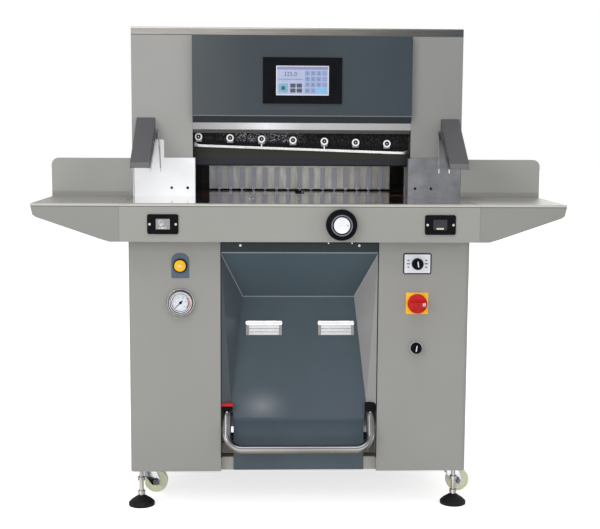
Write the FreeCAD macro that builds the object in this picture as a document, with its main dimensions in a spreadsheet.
import FreeCAD, Part
import Sketcher
import math
import os

# Hydraulic programmable paper cutter, 670 mm class, in millimetres.
# Frame: X to the operator's right, Y from the operator to the back, Z up.
# Origin: centre of the whole machine's footprint, on the floor.

SIZES = {
    # whole machine
    "overall_depth": 1200,
    "machine_height": 1441,
    "knob_reach": 34,
    "sheet_wall": 2.5,
    "seat_gap": 0.3,
    "shaft_gap": 0.05,
    "slide_gap": 0.1,
    # throat
    "throat_offset": 14.5,
    "throat_width": 686,
    "cutting_width": 672,
    # cabinet
    "cabinet_width": 996,
    "cabinet_setback": 44,
    "cabinet_depth": 730,
    "cabinet_bottom": 117,
    "cabinet_corner": 14,
    "niche_width": 462,
    # beam and tables
    "beam_width": 1034,
    "beam_height": 109,
    "beam_shelf": 56,
    "beam_lip": 26,
    "beam_edge": 6,
    "beam_side_depth": 348,
    "table_thickness": 50,
    "rear_table_thickness": 16,
    "table_side_margin": 5,
    "rear_table_end": 6,
    "fence_height": 84,
    "fence_wall": 5,
    "table_rib_height": 46,
    "table_rib_width": 14,
    "table_rib_inset": 50,
    "neck_slot_width": 30,
    "travel_margin": 2,
    "stick_width": 12,
    "stick_height": 10,
    "stick_length": 704,
    "stick_end_gap": 13,
    # side tables
    "side_table_reach": 251,
    "side_table_depth": 344,
    "apron_foot": 28,
    "apron_knee_run": 55,
    "apron_knee_rise": 8,
    "apron_tip_run": 235,
    "apron_tip_rise": 70,
    "apron_end_rise": 77,
    "apron_end_inset": 6,
    "apron_edge": 5,
    "splash_height": 119.5,
    "splash_return": 15,
    "splash_corner": 22,
    # tower
    "tower_width": 1036,
    "tower_setback": 350,
    "tower_depth": 290,
    "lid_height": 25,
    "lid_clearance": 16,
    "rear_opening_height": 114,
    "guide_block_height": 121,
    # front cover of the tower
    "cover_proud": 20,
    "cover_top_inset": 1,
    "cover_face_height": 245.5,
    "cover_bevel_height": 22,
    "cover_flange": 12,
    "lintel_height": 21.5,
    "lintel_lip_height": 11,
    "lintel_lip_depth": 14,
    # touch screen
    "screen_x": 14.25,
    "screen_width": 246,
    "screen_rise": 37.5,
    "screen_height": 142,
    "screen_proud": 4,
    "screen_body_inset": 12,
    "screen_body_depth": 34,
    "display_width": 165,
    "display_height": 92,
    "display_depth": 2,
    # side frames and upper beam
    "frame_thickness": 45,
    "frame_toe": 101,
    "frame_mast_front": 384,
    "frame_back": 634,
    "frame_head": 110,
    "upper_beam_front": 418,
    "upper_beam_depth": 102,
    "beam_clearance": 58,
    "upper_beam_height": 90,
    "guide_plate_depth": 20,
    "guide_plate_tail": 12,
    "guide_plate_head": 8,
    "guide_plate_reach": 85,
    # knife
    "edge_above_clamp": 48,
    "knife_edge_x": 17.5,
    "rake_slope": 0.0318,
    "knife_length": 691,
    "knife_end_gap": 19.5,
    "knife_height": 112,
    "knife_thickness": 9,
    "knife_front": 406,
    "bevel_height": 22,
    "bevel_flat": 0.3,
    "carrier_thickness": 20,
    "carrier_width": 681,
    "carrier_end_gap": 24.5,
    "carrier_x": 14.5,
    "carrier_rise": 8,
    "carrier_height": 140,
    "carrier_chamfer": 16,
    "ear_width": 60,
    "ear_rise": 30,
    "bolt_count": 7,
    "bolt_first_x": -311.8,
    "bolt_pitch": 99.57,
    "bolt_rise": 32.3,
    "bolt_radius": 6,
    "bolt_grip": 8,
    "bolt_head_radius": 9,
    "bolt_head_height": 9,
    "bolt_socket": 5,
    "washer_radius": 13.7,
    "washer_thickness": 3,
    "pocket_width": 29,
    "pocket_above": 16,
    "pocket_below": 21,
    "pocket_depth": 4,
    # knife guide
    "pin_spacing": 500,
    "pin_below_top": 35,
    "pin_radius": 10,
    "knife_drop": 136,
    "knife_draw": 20.4,
    "shoe_width": 30,
    "shoe_length": 60,
    "spacer_radius": 14,
    "keeper_width": 44,
    "keeper_thickness": 4,
    "slot_margin": 5,
    "ear_slot_rise": 18,
    "ear_slot_gap": 1,
    # knife cylinder
    "ram_y": 514,
    "ram_radius": 12,
    "knife_barrel_radius": 30,
    "knife_barrel_drop": 151,
    "barrel_cap": 10,
    "barrel_wall": 8,
    "piston_length": 14,
    "stroke_margin": 10,
    "lug_size": 40,
    # clamp
    "clamp_width": 700,
    "clamp_end_gap": 15,
    "clamp_front": 418,
    "clamp_depth": 64,
    "throat_height": 96,
    "clamp_height": 130,
    "clamp_drop": 94,
    "clamp_rod_spacing": 280,
    "clamp_rod_radius": 16,
    "clamp_rod_margin": 5,
    "clamp_barrel_radius": 30,
    "clamp_barrel_margin": 4,
    "clamp_flange_radius": 46,
    "clamp_flange_height": 12,
    "clamp_piston_drop": 26,
    # side guide blocks and light guards
    "block_front": 342,
    "block_depth": 34,
    "left_block_width": 190,
    "right_block_width": 166,
    "tab_width": 34,
    "tab_height": 57,
    "tab_thickness": 7,
    "tab_inset": 96,
    "block_bolt_first": 23,
    "block_bolt_pitch": 50,
    "block_bolt_rise": 27,
    "block_bolt_radius": 4.5,
    "block_bolt_depth": 8,
    "guard_width": 57,
    "guard_inner_x": 445,
    "guard_right_shift": 7,
    "guard_rise": 246,
    "guard_depth": 34,
    "guard_nose_front": 150,
    "guard_nose_rise": 112,
    "guard_nose_drop": 15,
    "guard_nose_chamfer": 6,
    "bracket_thickness": 4,
    "bracket_gap": 1,
    "bracket_width": 24,
    "bracket_rise": 210,
    "bracket_nose_rise": 96,
    "bracket_step": 1.6,
    "bracket_spread": 7,
    # backgauge
    "gauge_face": 690,
    "gauge_width": 624,
    "gauge_x": 18.8,
    "gauge_height": 84,
    "gauge_depth": 45,
    "gauge_plate": 12,
    "gauge_foot_gap": 0.6,
    "rib_count": 15,
    "rib_pitch": 39.8,
    "rib_width": 16,
    "rib_proud": 8,
    "rib_top_gap": 6,
    "gauge_forward": 204,
    "rear_bearing_gap": 17,
    "screw_drop": 81,
    "screw_radius": 12,
    "journal_radius": 10,
    "journal_length": 16,
    "thread_pitch": 10,
    "thread_depth": 1,
    "nut_width": 50,
    "nut_length": 36,
    "nut_height": 40,
    "neck_width": 24,
    "neck_length": 24,
    "screw_start": 450,
    "bearing_length": 16,
    "bearing_width": 56,
    "motor_radius": 28,
    "motor_length": 105,
    "motor_flange": 10,
    # centre service cover and pulls
    "cover_top_gap": 7,
    "cover_strip_height": 28,
    "cover_hood_height": 145,
    "cover_ridge_half": 168,
    "cover_ridge_depth": 110,
    "cover_notch_rise": 203,
    "cover_notch_half": 201,
    "skirt_height": 158,
    "skirt_half": 194,
    "skirt_setback": 14,
    "pull_width": 108,
    "pull_height": 43,
    "pull_drop": 93,
    "pull_spacing": 217,
    "pull_x": 4.5,
    "pull_plate": 3,
    "pull_rim": 7,
    "pull_cup_depth": 16,
    # foot pedal
    "pedal_radius": 12.5,
    "pedal_wall": 2,
    "pedal_arm_x": 213,
    "pedal_bar_front": 10,
    "pedal_bar_z": 193,
    "pedal_knee_front": 65,
    "pedal_pivot_front": 250,
    "pedal_pivot_z": 306,
    "pedal_bend": 45,
    "pedal_shaft_radius": 10,
    "pedal_ear": 12,
    "pedal_ear_width": 40,
    "pedal_ear_x": 247,
    # base frame, feet and casters
    "tube_size": 40,
    "tube_wall": 4,
    "frame_inset": 8,
    "foot_x": 472,
    "foot_front": 94,
    "foot_back": 680,
    "pad_radius": 39,
    "pad_height": 28,
    "pad_rim": 8,
    "pad_neck_radius": 13,
    "pad_shoulder_radius": 31,
    "pad_shoulder": 16,
    "stem_radius": 6.3,
    "stem_socket": 12,
    "stem_top": 190,
    "nut_radius": 11,
    "nut_thickness": 10,
    "lock_nut_z": 76,
    "low_nut_z": 34,
    "caster_x": 470,
    "caster_front": 200,
    "caster_back": 585,
    "wheel_radius": 36,
    "wheel_width": 22,
    "wheel_axle_z": 42,
    "wheel_corner": 5,
    "caster_trail": 32,
    "axle_radius": 5,
    "fork_wall": 3,
    "fork_gap": 1.5,
    "fork_top": 100,
    "fork_width": 44,
    "fork_shoulder": 12,
    "fork_toe": 11,
    "race_radius": 25,
    "kingpin_radius": 8,
    "plate_size": 74,
    "plate_thickness": 6,
    "caster_head": 10,
    # controls
    "bezel_width": 89,
    "bezel_height": 57,
    "bezel_proud": 4,
    "bezel_corner": 10,
    "sleeve_width": 60,
    "sleeve_height": 44,
    "sleeve_depth": 18,
    "cap_width": 41,
    "cap_height": 31,
    "cap_recess": 3,
    "cap_depth": 16,
    "cap_gap": 0.5,
    "cut_button_left": -393,
    "cut_button_right": 402,
    "control_drop": 58,
    "cap_edge": 1,
    "handwheel_x": 117,
    "handwheel_radius": 44.5,
    "handwheel_rim": 10,
    "handwheel_waist": 31,
    "handwheel_shaft": 6,
    "handwheel_collar": 11,
    "collar_thickness": 4,
    "legend_x": -347.5,
    "legend_width": 51,
    "legend_drop": 110,
    "legend_height": 73,
    "plate_sheet": 2,
    "push_drop": 73.3,
    "push_ring_radius": 19.5,
    "push_ring_proud": 9,
    "push_radius": 14,
    "push_proud": 4,
    "push_travel": 4,
    "push_stem": 20,
    "push_stem_radius": 10,
    "selector_x": 343.7,
    "selector_width": 82.6,
    "selector_height": 61.6,
    "selector_drop": 66.7,
    "selector_radius": 16.5,
    "selector_depth": 14,
    "selector_grip": 7,
    "knob_shaft": 4,
    "knob_collar": 8,
    "main_plate_width": 66,
    "main_plate_height": 64,
    "main_switch_x": 345,
    "main_switch_drop": 184,
    "main_knob_radius": 28.5,
    "main_knob_depth": 12,
    "main_grip_width": 13,
    "main_grip_height": 20,
    "key_drop": 315.2,
    "key_x": 343.3,
    "key_ring_radius": 19,
    "pressure_x": -347,
    "pressure_drop": 182,
    "pressure_flange": 42.5,
    "pressure_bezel": 35.75,
    "pressure_proud": 14,
    "pressure_body": 30,
    "pressure_body_depth": 30,
    "dial_radius": 31,
    "dial_depth": 10,
    "pointer_length": 24,
    "pointer_tail": 8,
    "pointer_width": 3,
    "pointer_tip": 1,
    "pointer_sheet": 1,
    "pointer_pin": 1.5,
    "pointer_angle": 225,
    # hydraulics
    "tank_left": -180,
    "tank_width": 340,
    "tank_front": 290,
    "tank_depth": 300,
    "tank_height": 190,
    "tank_corner": 12,
    "tank_wall": 12,
    "vent_count": 6,
    "vent_pitch": 40,
    "vent_width": 230,
    "vent_height": 8,
    "pump_radius": 72,
    "pump_height": 230,
    "pump_flange": 90,
    "pump_flange_height": 12,
    # rear cover
    "hood_side_gap": 16,
    "hood_skirt": 12,
    "hood_height": 127,
    "hood_hinge_radius": 7,
    "hood_pin_radius": 4,
    "hood_hinge_rise": 136,
    "hood_hinge_back": 10,
    "hood_knuckle": 40,
    "hood_ear": 10,
    "hood_pin_length": 60,
    "hood_knuckle_x": 300,
    "hood_lip": 20,
    "hood_lip_gap": 6.5,
    "hood_front_gap": 4,
    "hood_sight": 30,
    # screws
    "screw_head_radius": 3.5,
    "screw_head_height": 2,
    "strip_screw_inset": 58,
    "strip_screw_drop": 7,
}

doc = FreeCAD.newDocument("paper_cutter")
sheet = doc.addObject("Spreadsheet::Sheet", "Sheet")
for row, (name, value) in enumerate(SIZES.items(), 1):
    sheet.set("A%d" % row, name)
    sheet.set("B%d" % row, str(value))
    sheet.setAlias("B%d" % row, name)
doc.recompute()


class Length:
    """A length that knows both its value and the sheet expression it comes from."""

    def __init__(self, value, text=None):
        self.value = float(value)
        self.text = text or "(%r)" % self.value

    def combine(self, other, sign, value):
        return Length(value, "(%s %s %s)" % (self.text, sign, other.text))

    def __add__(self, other):
        other = length(other)
        return self.combine(other, "+", self.value + other.value)

    def __sub__(self, other):
        other = length(other)
        return self.combine(other, "-", self.value - other.value)

    def __mul__(self, other):
        other = length(other)
        return self.combine(other, "*", self.value * other.value)

    def __truediv__(self, other):
        other = length(other)
        return self.combine(other, "/", self.value / other.value)

    def __radd__(self, other):
        return length(other) + self

    def __rsub__(self, other):
        return length(other) - self

    def __rmul__(self, other):
        return length(other) * self

    def __neg__(self):
        return length(0) - self

    def __float__(self):
        return self.value


class Sizes:
    """Every size of the sheet, by its alias."""


def length(number):
    return number if isinstance(number, Length) else Length(number)


def widest(*lengths):
    """The largest of several lengths, still an expression of the sheet."""
    return Length(max(item.value for item in lengths), "max(%s)" % "; ".join(item.text for item in lengths))


size = Sizes()
for name, value in SIZES.items():
    setattr(size, name, Length(value, "Sheet." + name))

# Main planes
wall = size.sheet_wall
front = size.knob_reach - size.overall_depth / 2
rear = size.overall_depth / 2
cabinet_front = front + size.cabinet_setback
cabinet_back = cabinet_front + size.cabinet_depth
lid_bottom = size.machine_height - size.lid_height
frame_top = lid_bottom - size.lid_clearance
upper_beam_top = frame_top - size.frame_head
upper_beam_bottom = upper_beam_top - size.upper_beam_height
clamp_top = upper_beam_bottom - size.beam_clearance
clamp_bottom = clamp_top - size.clamp_height
table_top = clamp_bottom - size.throat_height
table_bottom = table_top - size.table_thickness
beam_bottom = table_top - size.beam_height
tower_front = front + size.tower_setback
tower_back = tower_front + size.tower_depth
pin_z = frame_top - size.pin_below_top
knife_edge_z = clamp_bottom + size.edge_above_clamp
guide_block_top = table_top + size.guide_block_height
cover_top = lid_bottom - size.cover_top_inset
cover_knee = cover_top - size.cover_face_height
cover_bevel_bottom = cover_knee - size.cover_bevel_height
screen_bottom = cover_knee + size.screen_rise
screw_z = table_top - size.screw_drop
control_z = table_top - size.control_drop
frame_spacing = widest(
    size.stick_length + size.stick_end_gap * 2, size.clamp_width + size.clamp_end_gap * 2,
    size.knife_length + size.knife_end_gap * 2, size.carrier_width + size.carrier_end_gap * 2)
frame_left = size.throat_offset - frame_spacing / 2
frame_right = size.throat_offset + frame_spacing / 2
opening_left = size.throat_offset - size.throat_width / 2
opening_right = size.throat_offset + size.throat_width / 2
base_top = size.cabinet_bottom + size.tube_size
strip_top = beam_bottom - size.cover_top_gap
fold_z = strip_top - size.cover_strip_height
ridge_z = fold_z - size.cover_hood_height
notch_z = size.cabinet_bottom + size.cover_notch_rise
skirt_bend_z = size.cabinet_bottom + size.skirt_height
pull_z = ridge_z - size.pull_drop
push_z = beam_bottom - size.push_drop
selector_z = beam_bottom - size.selector_drop
main_switch_z = beam_bottom - size.main_switch_drop
key_z = beam_bottom - size.key_drop
pressure_z = beam_bottom - size.pressure_drop
right_pin_x = size.throat_offset + size.pin_spacing / 2
left_pin_x = size.throat_offset - size.pin_spacing / 2
knife_plane = front + size.knife_front
carrier_front = knife_plane - size.carrier_thickness
clamp_middle = front + size.clamp_front + size.clamp_depth / 2
rear_table_back = rear - size.rear_table_end
nut_middle = front + size.gauge_face + size.gauge_depth - size.nut_length / 2
screw_end = rear_table_back - size.rear_bearing_gap - size.bearing_length
gauge_back = screw_end - size.travel_margin - size.nut_length / 2 - nut_middle
draw_angle = math.degrees(math.atan2(float(size.knife_draw), float(size.knife_drop)))
rake_angle = math.degrees(math.atan(float(size.rake_slope)))

nodes = {}


# Ways of making a piece

def bind(item, prop, value):
    item.setExpression(prop, length(value).text)


def place(item, x, y, z):
    bind(item, "Placement.Base.x", x)
    bind(item, "Placement.Base.y", y)
    bind(item, "Placement.Base.z", z)
    return item


def turn(item, axis, degrees):
    item.Placement = FreeCAD.Placement(FreeCAD.Vector(), FreeCAD.Rotation(axis, degrees))
    return item


AXIS_TURN = {
    "x": (FreeCAD.Vector(0, 1, 0), 90),
    "y": (FreeCAD.Vector(1, 0, 0), -90),
    "z": (FreeCAD.Vector(0, 0, 1), 0)}


def box(x, y, z):
    """A block over three spans."""
    block = doc.addObject("Part::Box", "block")
    for prop, span in zip(("Length", "Width", "Height"), (x, y, z)):
        bind(block, prop, length(span[1]) - length(span[0]))
    return place(block, x[0], y[0], z[0])


def on_axis(axis, along, centre):
    """A point given by its place along an axis and its two other coordinates."""
    point = list(centre)
    point.insert("xyz".index(axis), along)
    return point


def rod(axis, centre, span, radius):
    """A round bar along x, y or z; centre holds the two other coordinates."""
    bar = doc.addObject("Part::Cylinder", "bar")
    turn(bar, *AXIS_TURN[axis])
    bind(bar, "Radius", radius)
    bind(bar, "Height", length(span[1]) - length(span[0]))
    return place(bar, *on_axis(axis, span[0], centre))


def outline_sketch(body, plane, outline):
    """A closed outline whose corners are all bound to the sheet."""
    sketch = body.newObject("Sketcher::SketchObject", "outline")
    origin_plane = [part for part in body.Origin.OriginFeatures if part.Role == plane][0]
    sketch.AttachmentSupport = [(origin_plane, "")]
    sketch.MapMode = "FlatFace"
    corners = [(length(u), length(v)) for u, v in outline]
    count = len(corners)
    points = [FreeCAD.Vector(u.value, v.value, 0) for u, v in corners]
    for index in range(count):
        sketch.addGeometry(Part.LineSegment(points[index], points[(index + 1) % count]))
    for index in range(count):
        sketch.addConstraint(Sketcher.Constraint("Coincident", index, 2, (index + 1) % count, 1))
    for index, corner in enumerate(corners):
        for kind, value in zip(("DistanceX", "DistanceY"), corner):
            constraint = sketch.addConstraint(Sketcher.Constraint(kind, -1, 1, index, 1, value.value))
            label = "corner%d_%s" % (index, kind[-1].lower())
            sketch.renameConstraint(constraint, label)
            bind(sketch, "Constraints." + label, value)
    return sketch


def prism(plane, outline, span):
    """An outline on an origin plane, padded over a span of the third axis."""
    body = doc.addObject("PartDesign::Body", "prism")
    sketch = outline_sketch(body, plane + "_Plane", outline)
    start = length(span[0])
    end = length(span[1])
    bind(sketch, "AttachmentOffset.Base.z", -end if plane == "XZ" else start)
    pad = body.newObject("PartDesign::Pad", "pad")
    pad.Profile = sketch
    bind(pad, "Length", end - start)
    return body


def turned(axis, centre, outline):
    """A lathe part: corners of (radius, place along the axis) spun about the axis."""
    body = doc.addObject("PartDesign::Body", "turned")
    plane = {"x": "XY_Plane", "y": "XY_Plane", "z": "XZ_Plane"}[axis]
    corners = [(along, radius) if axis == "x" else (radius, along) for radius, along in outline]
    sketch = outline_sketch(body, plane, corners)
    spin = body.newObject("PartDesign::Revolution", "spin")
    spin.Profile = sketch
    spin.ReferenceAxis = (sketch, ["H_Axis" if axis == "x" else "V_Axis"])
    spin.Angle = 360
    return place(body, *on_axis(axis, 0, centre))


def join(*parts):
    fused = doc.addObject("Part::MultiFuse", "join")
    fused.Shapes = list(parts)
    fused.Refine = True
    return fused


def group(*parts):
    """Separate solids that share one node."""
    gathered = doc.addObject("Part::Compound", "group")
    gathered.Links = list(parts)
    return gathered


def cut(base, *tools):
    result = doc.addObject("Part::Cut", "cut")
    result.Base = base
    result.Tool = tools[0] if len(tools) == 1 else join(*tools)
    result.Refine = True
    return result


def rounded(item, radius, wanted):
    """Rounds the edges that wanted(edge) picks."""
    doc.recompute()
    fillet = doc.addObject("Part::Fillet", "rounded")
    fillet.Base = item
    bend = float(radius)
    fillet.Edges = [(index, bend, bend) for index, edge in enumerate(item.Shape.Edges, 1) if wanted(edge)]
    if not fillet.Edges:
        raise RuntimeError("no edge to round on " + item.Name)
    return fillet


def runs_along(edge, axis):
    """Whether an edge is straight and parallel to an axis."""
    if edge.Curve.TypeId != "Part::GeomLine":
        return False
    direction = edge.Curve.Direction
    return abs(abs(getattr(direction, axis)) - 1) < 1e-6


def passes(edge, **place_at):
    """Whether the middle of an edge lies at the given coordinates."""
    middle = edge.CenterOfMass
    return all(abs(getattr(middle, axis) - float(value)) < 0.05 for axis, value in place_at.items())


def mirrored_span(x, side):
    """A span given for the right side, taken to the side asked for."""
    return (x[0], x[1]) if side > 0 else (-x[1], -x[0])


def middle_span(centre, width):
    """The span of a width about a centre."""
    return (centre - width / 2, centre + width / 2)


def node(name, item):
    item.Label = name
    nodes[name] = item
    return item


# Welded base: square tubes that carry the castings, the feet and the casters

def tube(x, y, z, axis):
    spans = {"x": x, "y": y, "z": z}
    hollow = {}
    for name, span in spans.items():
        inset = 0 if name == axis else size.tube_wall
        hollow[name] = (span[0] + inset, span[1] - inset)
    return cut(box(x, y, z), box(hollow["x"], hollow["y"], hollow["z"]))


def front_bar_span():
    """The front cross tube lies just behind the service cover's skirt."""
    start = cabinet_front + size.skirt_setback + wall + size.seat_gap
    return (start, start + size.tube_size)


def base_frame():
    level = (size.cabinet_bottom, base_top)
    inner_edge = size.foot_x - size.tube_size / 2
    outer_edge = size.foot_x + size.tube_size / 2
    start = cabinet_front + size.frame_inset
    end = cabinet_back - size.frame_inset
    across = (-inner_edge, inner_edge)
    front_bar = front_bar_span()
    back_bar = (end - size.tube_size, end)
    between = (front_bar[1], back_bar[0])
    pivot = front + size.pedal_pivot_front
    pedal_bar = middle_span(pivot, size.tube_size)
    bars = [
        tube((-outer_edge, -inner_edge), (start, end), level, "y"),
        tube((inner_edge, outer_edge), (start, end), level, "y"),
        tube(across, front_bar, level, "x"),
        tube(across, back_bar, level, "x"),
        tube((frame_left - size.frame_thickness, frame_left), between, level, "y"),
        tube((frame_right, frame_right + size.frame_thickness), between, level, "y"),
        tube((frame_left, frame_right), pedal_bar, level, "x"),
    ]
    tank_start = front + size.tank_front
    for bar_start in (tank_start, tank_start + size.tank_depth - size.tube_size):
        bar = (bar_start, bar_start + size.tube_size)
        bars.append(tube((frame_left, frame_right), bar, level, "x"))
    bores = []
    for side in (-1, 1):
        ear_x = mirrored_span((size.pedal_ear_x - size.pedal_ear, size.pedal_ear_x), side)
        ear_top = size.pedal_pivot_z + size.pedal_ear_width / 2
        bars.append(box(ear_x, pedal_bar, (base_top, ear_top)))
        bores.append(rod("x", (pivot, size.pedal_pivot_z), ear_x, size.pedal_shaft_radius + size.shaft_gap))
        for place_y in (size.foot_front, size.foot_back):
            stem_hole = size.stem_radius + size.seat_gap
            bores.append(rod("z", (side * size.foot_x, front + place_y), level, stem_hole))
        for place_y in (size.caster_front, size.caster_back):
            plate_y = middle_span(front + place_y, size.plate_size)
            plate_x = middle_span(side * size.caster_x, size.plate_size)
            plate_bottom = size.cabinet_bottom - size.plate_thickness
            bars.append(box(plate_x, plate_y, (plate_bottom, size.cabinet_bottom)))
            kingpin_hole = size.kingpin_radius + size.shaft_gap
            hole_z = (plate_bottom, size.cabinet_bottom + size.caster_head)
            bores.append(rod("z", (side * size.caster_x, front + place_y), hole_z, kingpin_hole))
    node("base_frame", cut(join(*bars), *bores))


# Feet: rubber pads on threaded stems with lock nuts

def foot_places():
    return [(side * size.foot_x, front + y) for side in (-1, 1) for y in (size.foot_front, size.foot_back)]


def feet():
    pads = []
    stems = []
    neck = size.pad_neck_radius
    bore = size.stem_radius + size.seat_gap
    for place_at in foot_places():
        pads.append(turned("z", place_at, [
            (0, 0), (size.pad_radius, 0), (size.pad_radius, size.pad_rim),
            (size.pad_shoulder_radius, size.pad_shoulder), (neck, size.pad_height),
            (bore, size.pad_height), (bore, size.stem_socket), (0, size.stem_socket)]))
        stem = rod("z", place_at, (size.stem_socket + size.seat_gap, size.stem_top), size.stem_radius)
        nuts = []
        for low in (size.low_nut_z, size.lock_nut_z):
            nuts.append(rod("z", place_at, (low, low + size.nut_thickness), size.nut_radius))
        stems.append(join(stem, *nuts))
    node("foot_pads", group(*pads))
    node("foot_stems", group(*stems))


# Casters: cream wheels in zinc forks, swivelling in front and fixed behind

def caster_wheel(name, axle_x, axle_y):
    half = size.wheel_width / 2
    corner = size.wheel_corner
    bore = size.axle_radius + size.shaft_gap
    wheel = turned("y", (axle_x, size.wheel_axle_z), [
        (bore, axle_y - half), (size.wheel_radius - corner, axle_y - half),
        (size.wheel_radius, axle_y - half + corner), (size.wheel_radius, axle_y + half - corner),
        (size.wheel_radius - corner, axle_y + half), (bore, axle_y + half)])
    node(name, wheel)


def caster_fork(axle_x, axle_y, swivels):
    """Two cheeks, a crown and the axle; a swivelling fork also has its king pin."""
    post_x = axle_x - size.caster_trail
    inner = size.wheel_width / 2 + size.fork_gap
    outer = inner + size.fork_wall
    top = size.fork_top
    crown = top - size.fork_wall
    toe = size.wheel_axle_z - size.fork_toe
    left = post_x - size.fork_width / 2
    right = post_x + size.fork_width / 2
    cheek = [
        (left, top), (left, crown - size.fork_shoulder), (axle_x - size.fork_toe, toe),
        (axle_x + size.fork_toe, toe), (axle_x + size.fork_toe, size.wheel_axle_z + size.fork_toe),
        (right, top)]
    parts = [
        prism("XZ", cheek, (axle_y - outer, axle_y - inner)),
        prism("XZ", cheek, (axle_y + inner, axle_y + outer)),
        box((left, right), (axle_y - outer, axle_y + outer), (crown, top)),
        rod("y", (axle_x, size.wheel_axle_z),
            (axle_y - outer - size.fork_wall, axle_y + outer + size.fork_wall), size.axle_radius),
    ]
    plate_bottom = size.cabinet_bottom - size.plate_thickness
    post = (post_x, axle_y)
    if swivels:
        parts.append(rod("z", post, (crown, plate_bottom - size.seat_gap), size.race_radius))
        parts.append(rod("z", post, (crown, plate_bottom + size.plate_thickness), size.kingpin_radius))
    else:
        parts.append(rod("z", post, (crown, plate_bottom), size.race_radius))
    return join(*parts)


def casters():
    fixed_forks = []
    for side, side_name in ((-1, "left"), (1, "right")):
        axle_x = side * size.caster_x + size.caster_trail
        front_y = front + size.caster_front
        back_y = front + size.caster_back
        caster_wheel("front_%s_caster_wheel" % side_name, axle_x, front_y)
        caster_wheel("rear_%s_caster_wheel" % side_name, axle_x, back_y)
        node("front_%s_caster_fork" % side_name, caster_fork(axle_x, front_y, True))
        fixed_forks.append(caster_fork(axle_x, back_y, False))
    node("rear_caster_forks", group(*fixed_forks))


# Cast side frames: a foot under the table and a mast behind the cut

def side_frames():
    foot = front + size.frame_toe
    mast = front + size.frame_mast_front
    back = front + size.frame_back
    outline = [
        (foot, base_top), (back, base_top), (back, frame_top), (mast, frame_top),
        (mast, table_bottom), (foot, table_bottom)]
    left = (frame_left - size.frame_thickness, frame_left)
    right = (frame_right, frame_right + size.frame_thickness)
    node("left_side_frame", prism("YZ", outline, left))
    node("right_side_frame", prism("YZ", outline, right))


def slot_reach():
    """How far the guide slot goes on past the shoe's pin at each end of the travel."""
    return size.shoe_length / 2 + size.slot_margin


def guide_slot(pin_x, y):
    """The slanted slot that one guide shoe runs in."""
    reach = slot_reach()
    half = (size.shoe_width / 2) * (1 / math.cos(math.radians(draw_angle)))
    lean = size.knife_draw / size.knife_drop
    high = pin_z + reach
    low = pin_z - size.knife_drop - reach
    high_x = pin_x + reach * lean
    low_x = pin_x - size.knife_draw - reach * lean
    outline = [(low_x - half, low), (low_x + half, low), (high_x + half, high), (high_x - half, high)]
    return prism("XZ", outline, y)


def upper_cross_beam():
    """Ties the masts; holds the clamp's cylinder and rods and the knife's guides."""
    face = front + size.upper_beam_front
    plate_y = (face, face + size.guide_plate_depth)
    plate_z = (pin_z - size.knife_drop - slot_reach() - size.guide_plate_tail,
               pin_z + slot_reach() + size.guide_plate_head)
    beam_z = (upper_beam_bottom, upper_beam_top)
    beam_left = left_pin_x + size.guide_plate_reach
    beam_right = right_pin_x - size.guide_plate_reach
    body = join(
        box((beam_left, beam_right), (face, face + size.upper_beam_depth), beam_z),
        box((frame_left, beam_left), plate_y, plate_z),
        box((beam_right, frame_right), plate_y, plate_z))
    bores = [
        guide_slot(left_pin_x, plate_y),
        guide_slot(right_pin_x, plate_y),
        rod("z", (size.throat_offset, clamp_middle), beam_z, size.clamp_barrel_radius + size.seat_gap)]
    for side in (-1, 1):
        rod_x = size.throat_offset + side * size.clamp_rod_spacing / 2
        bores.append(rod("z", (rod_x, clamp_middle), beam_z, size.clamp_rod_radius + size.shaft_gap))
    node("upper_cross_beam", cut(body, *bores))


# Tables

def neck_slot():
    """The slot that the nut's neck travels in, through both tables."""
    y = (nut_middle - size.neck_length / 2 - size.gauge_forward - size.travel_margin,
         nut_middle + size.neck_length / 2 + gauge_back + size.travel_margin)
    return box(middle_span(size.throat_offset, size.neck_slot_width), y, (table_bottom, table_top))


def screw_bearings():
    """The two spans along Y that carry the screw's journals."""
    ahead = front + size.screw_start
    return (ahead, ahead + size.bearing_length), (screw_end, screw_end + size.bearing_length)


def cutting_table():
    """Cast table: wide in front of the masts, narrow between them, with the stick's groove."""
    edge = size.beam_width / 2 - size.table_side_margin
    mast = front + size.frame_mast_front - size.seat_gap
    start = front + size.beam_lip + size.seat_gap
    deck = (table_bottom, table_top)
    narrow = (frame_left + size.seat_gap, frame_right - size.seat_gap)
    slab = join(box((-edge, edge), (start, mast), deck), box(narrow, (mast, tower_back), deck))
    bearing_y = screw_bearings()[0]
    bearing_x = middle_span(size.throat_offset, size.bearing_width)
    bearing_low = screw_z - size.bearing_width / 2
    bearing = box(bearing_x, bearing_y, (bearing_low, table_bottom))
    stick_y = middle_span(knife_plane + size.knife_thickness, size.stick_width)
    stick_x = middle_span(size.throat_offset, size.stick_length)
    groove = box(stick_x, stick_y, (table_top - size.stick_height, table_top))
    journal = rod("y", (size.throat_offset, screw_z), bearing_y, size.journal_radius + size.shaft_gap)
    node("cutting_table", cut(join(slab, bearing), groove, neck_slot(), journal))
    fit = size.slide_gap
    stick = box((stick_x[0] + fit, stick_x[1] - fit), (stick_y[0] + fit, stick_y[1] - fit),
                (table_top - size.stick_height, table_top - fit))
    node("cutting_stick", stick)


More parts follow.
